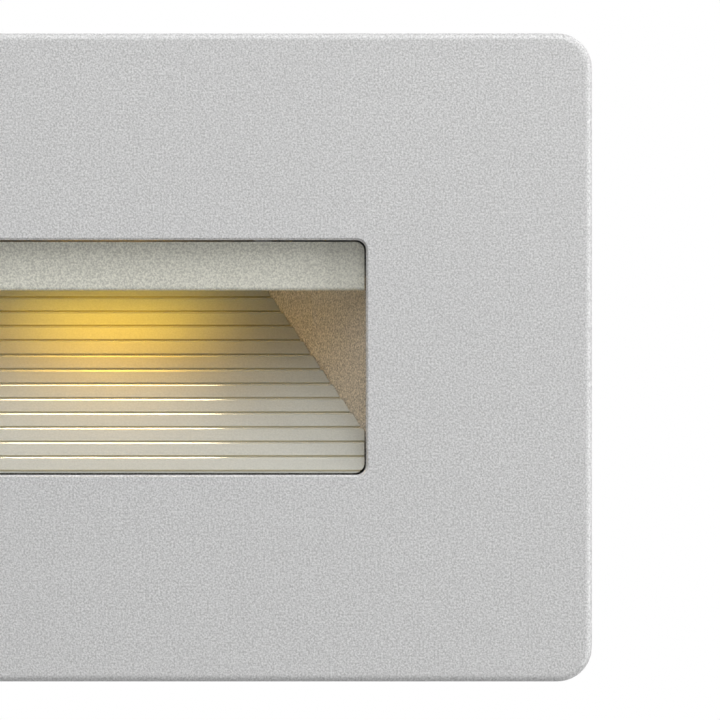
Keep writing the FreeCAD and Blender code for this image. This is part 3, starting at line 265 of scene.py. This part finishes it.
def rubber(name, colour, grain=0.35 * MM, depth=0.02 * MM, roughness=0.72):
    """Moulded rubber or foam with a fine matt grain and dusty patches."""
    made = Finish(name, roughness, Specular_IOR_Level=0.3)
    cell = made.cells(pitch=grain)
    dust = made.noise(grain=5 * MM, detail=4)
    tone = made.mix(made.span(cell, 0.1, 0.8), shade(colour, 1.12), shade(colour, 0.8))
    tone = made.mix(made.span(dust, 0.45, 0.75, high=0.25), tone, shade(colour, 1.5))
    made.set(Base_Color=tone)
    made.set(Roughness=made.spread(dust, roughness - 0.06, roughness + 0.1))
    made.set(Normal=made.bump(cell, -depth))
    return made.material


def moulded(name, colour, roughness=0.4, grain=0.3 * MM):
    """Moulded plastic with a spark-eroded grain."""
    made = Finish(name, roughness)
    spark = made.noise(grain, detail=3, rough=0.65)
    drift = made.noise(grain=4 * MM)
    tone = made.shades(drift, colour, 0.9, 1.07)
    tone = made.mix(made.span(spark, 0.4, 0.7, high=0.12), tone, shade(colour, 0.6))
    made.set(Base_Color=tone)
    made.set(Roughness=made.spread(spark, roughness + 0.08, roughness - 0.06))
    made.set(Normal=made.bump(spark, depth=0.014 * MM))
    return made.material


def circuit_board(name, mask, copper, pitch):
    """Solder mask over rows of jogged tracks, with drilled pads and a faint glass weave."""
    jog_rows, jog_step, track_half = 7, 0.37, 0.2
    pad_pitch, pad_radius, hole_radius = pitch * 2.3, 0.2, 0.09
    weave_turn = 9
    made = Finish(name, 0.32)
    across = made.math("DIVIDE", made.along("X"), pitch)
    along = made.math("DIVIDE", made.along("Y"), pitch)
    patches = made.noise(grain=7 * MM, detail=0)
    jog = made.math("FLOOR", made.math("MULTIPLY", patches, jog_rows))
    row = made.math("FRACT", made.math("ADD", along, made.math("MULTIPLY", jog, jog_step)))
    off_row = made.math("ABSOLUTE", made.math("SUBTRACT", row, 0.5))
    track = made.math("LESS_THAN", off_row, track_half)
    near = made.cells(pad_pitch)
    pad = made.math("LESS_THAN", near, pad_radius)
    hole = made.math("LESS_THAN", near, hole_radius)
    weave = made.math("SINE", made.math("MULTIPLY", across, weave_turn))
    tone = made.mix(track, mask, shade(mask, 1.55))
    tone = made.mix(pad, tone, copper)
    tone = made.mix(hole, tone, shade(copper, 0.12))
    tone = made.mix(made.span(weave, -1, 1, high=0.08), tone, shade(mask, 0.6))
    made.set(Base_Color=tone)
    made.set(Metallic=made.math("MULTIPLY", pad, 0.9))
    made.set(Roughness=made.span(track, 0, 1, 0.36, 0.28))
    relief = made.bump(track, depth=0.035 * MM)
    made.set(Normal=made.bump(pad, depth=0.04 * MM, under=relief))
    return made.material


def wound_tape(name, colour):
    """Insulating tape over a winding: bands with lapped edges and the wire's ripple."""
    band, wires_per_band, lap_share = 1.1 * MM, 3, 0.08
    made = Finish(name, 0.3, Coat_Weight=0.4, Coat_Roughness=0.15)
    place = made.math("DIVIDE", made.along("Z"), band)
    lap = made.math("FRACT", place)
    edge = made.math("LESS_THAN", lap, lap_share)
    ripple = made.math("SINE", made.math("MULTIPLY", place, math.tau * wires_per_band))
    stain = made.noise(grain=2.5 * MM, detail=3)
    tone = made.shades(stain, colour, 0.82, 1.1)
    tone = made.mix(made.math("MULTIPLY", edge, 0.6), tone, shade(colour, 0.4))
    made.set(Base_Color=tone)
    made.set(Roughness=made.spread(stain, 0.24, 0.36))
    relief = made.bump(ripple, depth=0.02 * MM)
    made.set(Normal=made.bump(lap, depth=0.05 * MM, under=relief))
    return made.material


def laminated(name, colour, rust_colour):
    """A core of stacked sheets, each with its own edge, with a varnish over all."""
    sheet = 0.5 * MM
    made = Finish(name, 0.45, metallic=0.55, Coat_Weight=0.3, Coat_Roughness=0.3)
    edge = made.math("PINGPONG", made.math("DIVIDE", made.along("X"), sheet), 0.5)
    rust = made.noise(grain=2.2 * MM, detail=4, distortion=0.5)
    tone = made.mix(made.span(edge, 0.02, 0.16), shade(colour, 0.35), colour)
    tone = made.mix(made.span(rust, 0.55, 0.75, high=0.35), tone, rust_colour)
    made.set(Base_Color=tone)
    made.set(Roughness=made.spread(rust, 0.38, 0.6))
    made.set(Normal=made.bump(edge, depth=0.05 * MM))
    return made.material


def capacitor_skin(name, sleeve, top, low, high):
    """A shrink sleeve on the can, with a dark lip, and the can's bare top."""
    lip_from, top_from = 0.94, 0.985
    made = Finish(name, 0.3)
    height = made.span(made.along("Z"), low, high)
    lip = made.math("GREATER_THAN", height, lip_from)
    bare = made.math("GREATER_THAN", height, top_from)
    wrap = made.noise(grain=1.4 * MM, detail=3, at=made.stretched((1, 1, 0.3)))
    tone = made.shades(wrap, sleeve, 0.85, 1.15)
    tone = made.mix(lip, tone, shade(sleeve, 0.6))
    made.set(Base_Color=made.mix(bare, tone, top))
    made.set(Metallic=bare)
    made.set(Roughness=made.spread(wrap, 0.24, 0.38))
    made.set(Normal=made.bump(wrap, depth=0.02 * MM))
    return made.material


def glowing(name, colour, strength, grain, roughness=0.5, fade=None):
    """A lit surface with a fine frosting, even or fading from its middle to its ends."""
    end_share = 0.15
    made = Finish(name, roughness, Emission_Color=WARM, Emission_Strength=strength)
    frost = made.noise(grain, detail=3, rough=0.6)
    if fade:
        off = made.math("ABSOLUTE", made.along("X"))
        made.set(Emission_Strength=made.span(off, 0, fade, strength, strength * end_share))
    made.set(Base_Color=made.shades(frost, colour, 0.9, 1.05, half=0.15))
    made.set(Roughness=made.spread(frost, roughness - 0.08, roughness + 0.1))
    made.set(Normal=made.bump(frost, depth=0.01 * MM))
    return made.material


finishes = {
    "face_plate": powder_coat("plate_coat", PLATE_GREY),
    "glare_hood": powder_coat("hood_coat", HOOD_WHITE, speck_share=0),
    "light_chamber": powder_coat(
        "chamber_coat", CHAMBER_BUFF, contrast=0.42, roughness=0.6, shine=0.25, speck_share=0
    ),
    "step_reflector": satin_paint("step_paint", STEP_WHITE),
    "housing": cast_metal("cast_aluminium", ALUMINIUM),
    "heat_sink": cast_metal("anodised_black", grey(46), 0.46),
    "rear_cover": plated_steel("cover_sheet", shade(STEEL, 0.94), (1, 1, 14), 0.32),
    "mounting_frame": plated_steel("frame_sheet", STEEL, (12, 1, 1), 0.3),
    "set_screws": plated_steel("socket_steel", rgb(160, 162, 166), (1, 1, 6), 0.26),
    "ground_screw": plated_steel("ground_green", rgb(66, 132, 78), (1, 6, 1), 0.3),
    "wall_gasket": rubber("closed_cell_foam", grey(58), 0.45 * MM, 0.06 * MM, 0.85),
    "rear_gasket": rubber("seal_black", grey(44)),
    "lens_gasket": rubber("silicone_seal", grey(150), 0.3 * MM, 0.01 * MM, 0.55),
    "lead_grommet": rubber("grommet_rubber", grey(38), 0.3 * MM, 0.012 * MM, 0.6),
    "thermal_pad": rubber(
        "thermal_pad_silicone", rgb(150, 160, 176), 0.5 * MM, 0.015 * MM, 0.6
    ),
    "led_emitter": glowing("phosphor", rgb(240, 206, 84), strength=6.0, grain=0.2 * MM),
    "lens": glowing(
        "frosted_lens", rgb(240, 238, 228), strength=6.7, grain=0.18 * MM, roughness=0.45,
        fade=11 * MM
    ),
    "led_board": circuit_board(
        "emitter_board", mask=rgb(226, 228, 224), copper=rgb(206, 176, 96), pitch=1.6 * MM
    ),
    "driver_board": circuit_board(
        "driver_board_mask", mask=rgb(30, 94, 58), copper=rgb(204, 190, 150), pitch=1.5 * MM
    ),
    "led_lead": moulded("lead_sheath", rgb(226, 224, 216), 0.42, 0.2 * MM),
    "transformer_core": laminated("core_sheets", grey(92), rust_colour=rgb(122, 84, 58)),
    "transformer_winding": wound_tape("winding_tape", rgb(206, 168, 58)),
    "driver_chips": moulded("chip_resin", grey(40), 0.5, 0.15 * MM),
    "output_terminal": moulded("terminal_green", rgb(58, 120, 84)),
    "input_terminal": moulded("terminal_grey", rgb(188, 190, 190)),
    "surge_disc": moulded("disc_lacquer", rgb(48, 86, 146), 0.26, 0.5 * MM),
    "fuse_resistor": moulded("resistor_ceramic", rgb(206, 198, 172), 0.6, 0.25 * MM),
}
screw_metal = plated_steel("screw_steel", rgb(178, 180, 184), (1, 6, 1), 0.24)
for name in nodes:
    if name.endswith("screws") and name not in finishes:
        finishes[name] = screw_metal
for name in ("large_capacitor", "small_capacitor"):
    low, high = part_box(name)
    finishes[name] = capacitor_skin(
        name + "_skin", sleeve=SLEEVE_BLUE, top=ALUMINIUM, low=low.z, high=high.z
    )

for name, node in nodes.items():
    node.data.materials.clear()
    node.data.materials.append(finishes[name])


# Lamps: large soft ones outside, and two small ones that stand for the emitter's light.
def soft_lamp(name, at, aim, width, height, power, colour=(1, 1, 1), spread=180):
    data = bpy.data.lights.new(name, "AREA")
    data.spread = math.radians(spread)
    data.shape = "RECTANGLE"
    data.size, data.size_y = width, height
    data.energy = power
    data.color = colour
    lamp = bpy.data.objects.new(name, data)
    lamp.location = at
    lamp.rotation_euler = (Vector(aim) - Vector(at)).to_track_quat("-Z", "Y").to_euler()
    scene.collection.objects.link(lamp)
    return lamp


def lamp_under_lens(name, back, drop, aim_back, aim_down, width, depth, power, colour, spread):
    """A small lamp by the lens, placed from its middle and lower face and aimed from there."""
    lens_low, lens_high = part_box("lens")
    at = Vector((0, (lens_low.y + lens_high.y) / 2 + back, lens_low.z - drop))
    aim = at + Vector((0, aim_back, -aim_down))
    return soft_lamp(name, at, aim, width, depth, power, colour, spread)


PLATE_MIDDLE = (0, 0, 0)
HOUSING_MIDDLE = (0, 0.02, 0)

soft_lamp("key", (0.1, -0.9, 0.55), PLATE_MIDDLE, width=0.8, height=0.6, power=2.1)
soft_lamp("upper_key", (0.1, -0.45, 0.55), PLATE_MIDDLE, width=0.6, height=0.4, power=1.45)
soft_lamp("top", (0.05, -0.2, 0.5), PLATE_MIDDLE, width=0.4, height=0.3, power=1.35)
soft_lamp("right_strip", (0.8, -0.25, 0.05), PLATE_MIDDLE, width=0.4, height=0.7, power=4.6)
soft_lamp("low_fill", (0.1, -0.6, -0.45), PLATE_MIDDLE, width=0.9, height=0.9, power=1.15)
soft_lamp("rear_fill", (-0.5, 1.2, 0.6), HOUSING_MIDDLE, width=0.8, height=0.8, power=7.0)

# The beam lights the upper steps. The lens is far brighter than the steps, which shows only
# as a glint on their shiny lower noses.
lamp_under_lens("beam", back=0.6 * MM, drop=1.6 * MM, aim_back=11 * MM, aim_down=3.4 * MM,
                width=22 * MM, depth=1.5 * MM, power=0.00047, colour=BEAM, spread=120)
glint = lamp_under_lens("glint", back=0, drop=1.8 * MM, aim_back=-10 * MM, aim_down=9 * MM,
                        width=26 * MM, depth=3 * MM, power=0.0023, colour=GLINT, spread=110)
glint.visible_diffuse = False


# Surroundings: a pale floor well below the light, in a faintly lit room that shows as white.
def show_instead(tree, usual, shown, share, surface):
    """Let rays from the camera, reflections and glass see a share of another shader."""
    path = tree.nodes.new("ShaderNodeLightPath")
    seen = path.outputs["Is Camera Ray"]
    for kind in ("Is Glossy Ray", "Is Transmission Ray"):
        either = tree.nodes.new("ShaderNodeMath")
        either.operation = "MAXIMUM"
        tree.links.new(seen, either.inputs[0])
        tree.links.new(path.outputs[kind], either.inputs[1])
        seen = either.outputs[0]
    part = tree.nodes.new("ShaderNodeMath")
    part.operation = "MULTIPLY"
    tree.links.new(seen, part.inputs[0])
    part.inputs[1].default_value = share
    choose = tree.nodes.new("ShaderNodeMixShader")
    for source, socket in zip((part.outputs[0], usual, shown), choose.inputs):
        tree.links.new(source, socket)
    tree.links.new(choose.outputs[0], surface)


FLOOR_LEVEL = -1.0
FLOOR_REACH = 20.0
FLOOR_GLOW = grey(252)
FLOOR_GLOW_SHARE = 0.85
ROOM_STRENGTH = 0.05

floor_mesh = bpy.data.meshes.new("floor")
corners = [(-1, -1), (1, -1), (1, 1), (-1, 1)]
floor_mesh.from_pydata(
    [(x * FLOOR_REACH, y * FLOOR_REACH, 0) for x, y in corners], [], [(0, 1, 2, 3)]
)
floor = bpy.data.objects.new("floor", floor_mesh)
floor.location = (0, 0, FLOOR_LEVEL)
scene.collection.objects.link(floor)
floor_paint = Finish("floor_paint", 0.8)
cloud = floor_paint.noise(grain=0.4)
floor_paint.set(Base_Color=floor_paint.mix(cloud, grey(236), grey(242)))
floor_mesh.materials.append(floor_paint.material)

# The floor's glow shows pale however far the lamps are, and its paint keeps the shadow.
glow = floor_paint.node("ShaderNodeEmission")
floor_paint.feed(glow.inputs["Color"], FLOOR_GLOW)
show_instead(
    floor_paint.tree, floor_paint.shader.outputs[0], glow.outputs[0], FLOOR_GLOW_SHARE,
    floor_paint.tree.nodes["Material Output"].inputs["Surface"]
)

world = bpy.data.worlds.new("room")
world.use_nodes = True
room = world.node_tree.nodes["Background"]
white = world.node_tree.nodes.new("ShaderNodeBackground")
for background, strength in ((room, ROOM_STRENGTH), (white, 1.0)):
    background.inputs["Color"].default_value = (1, 1, 1, 1)
    background.inputs["Strength"].default_value = strength
show_instead(
    world.node_tree, room.outputs[0], white.outputs[0], 1.0,
    world.node_tree.nodes["World Output"].inputs["Surface"]
)
scene.world = world

# Camera: level, square to the plate and far off, at the photograph's scale on the plate.
# The view's middle lies right of the plate's middle and a little below it.
PHOTO_WIDTH = 720
PIXELS_PER_MM = 8.51
SENSOR_WIDTH = 36
VIEW_RIGHT = 29.88 * MM
VIEW_DOWN = 0.306 * MM
CAMERA_DISTANCE = 1.6

view_width = PHOTO_WIDTH / PIXELS_PER_MM * MM
plate_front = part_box("face_plate")[0].y
camera_data = bpy.data.cameras.new("camera")
camera_data.sensor_width = SENSOR_WIDTH
camera_data.lens = SENSOR_WIDTH * (CAMERA_DISTANCE + plate_front) / view_width
camera_data.clip_start, camera_data.clip_end = 0.1, 50
camera = bpy.data.objects.new("camera", camera_data)
camera.location = (VIEW_RIGHT, -CAMERA_DISTANCE, -VIEW_DOWN)
camera.rotation_euler = (math.radians(90), 0, 0)
scene.collection.objects.link(camera)
scene.camera = camera
scene.view_settings.view_transform = "Standard"
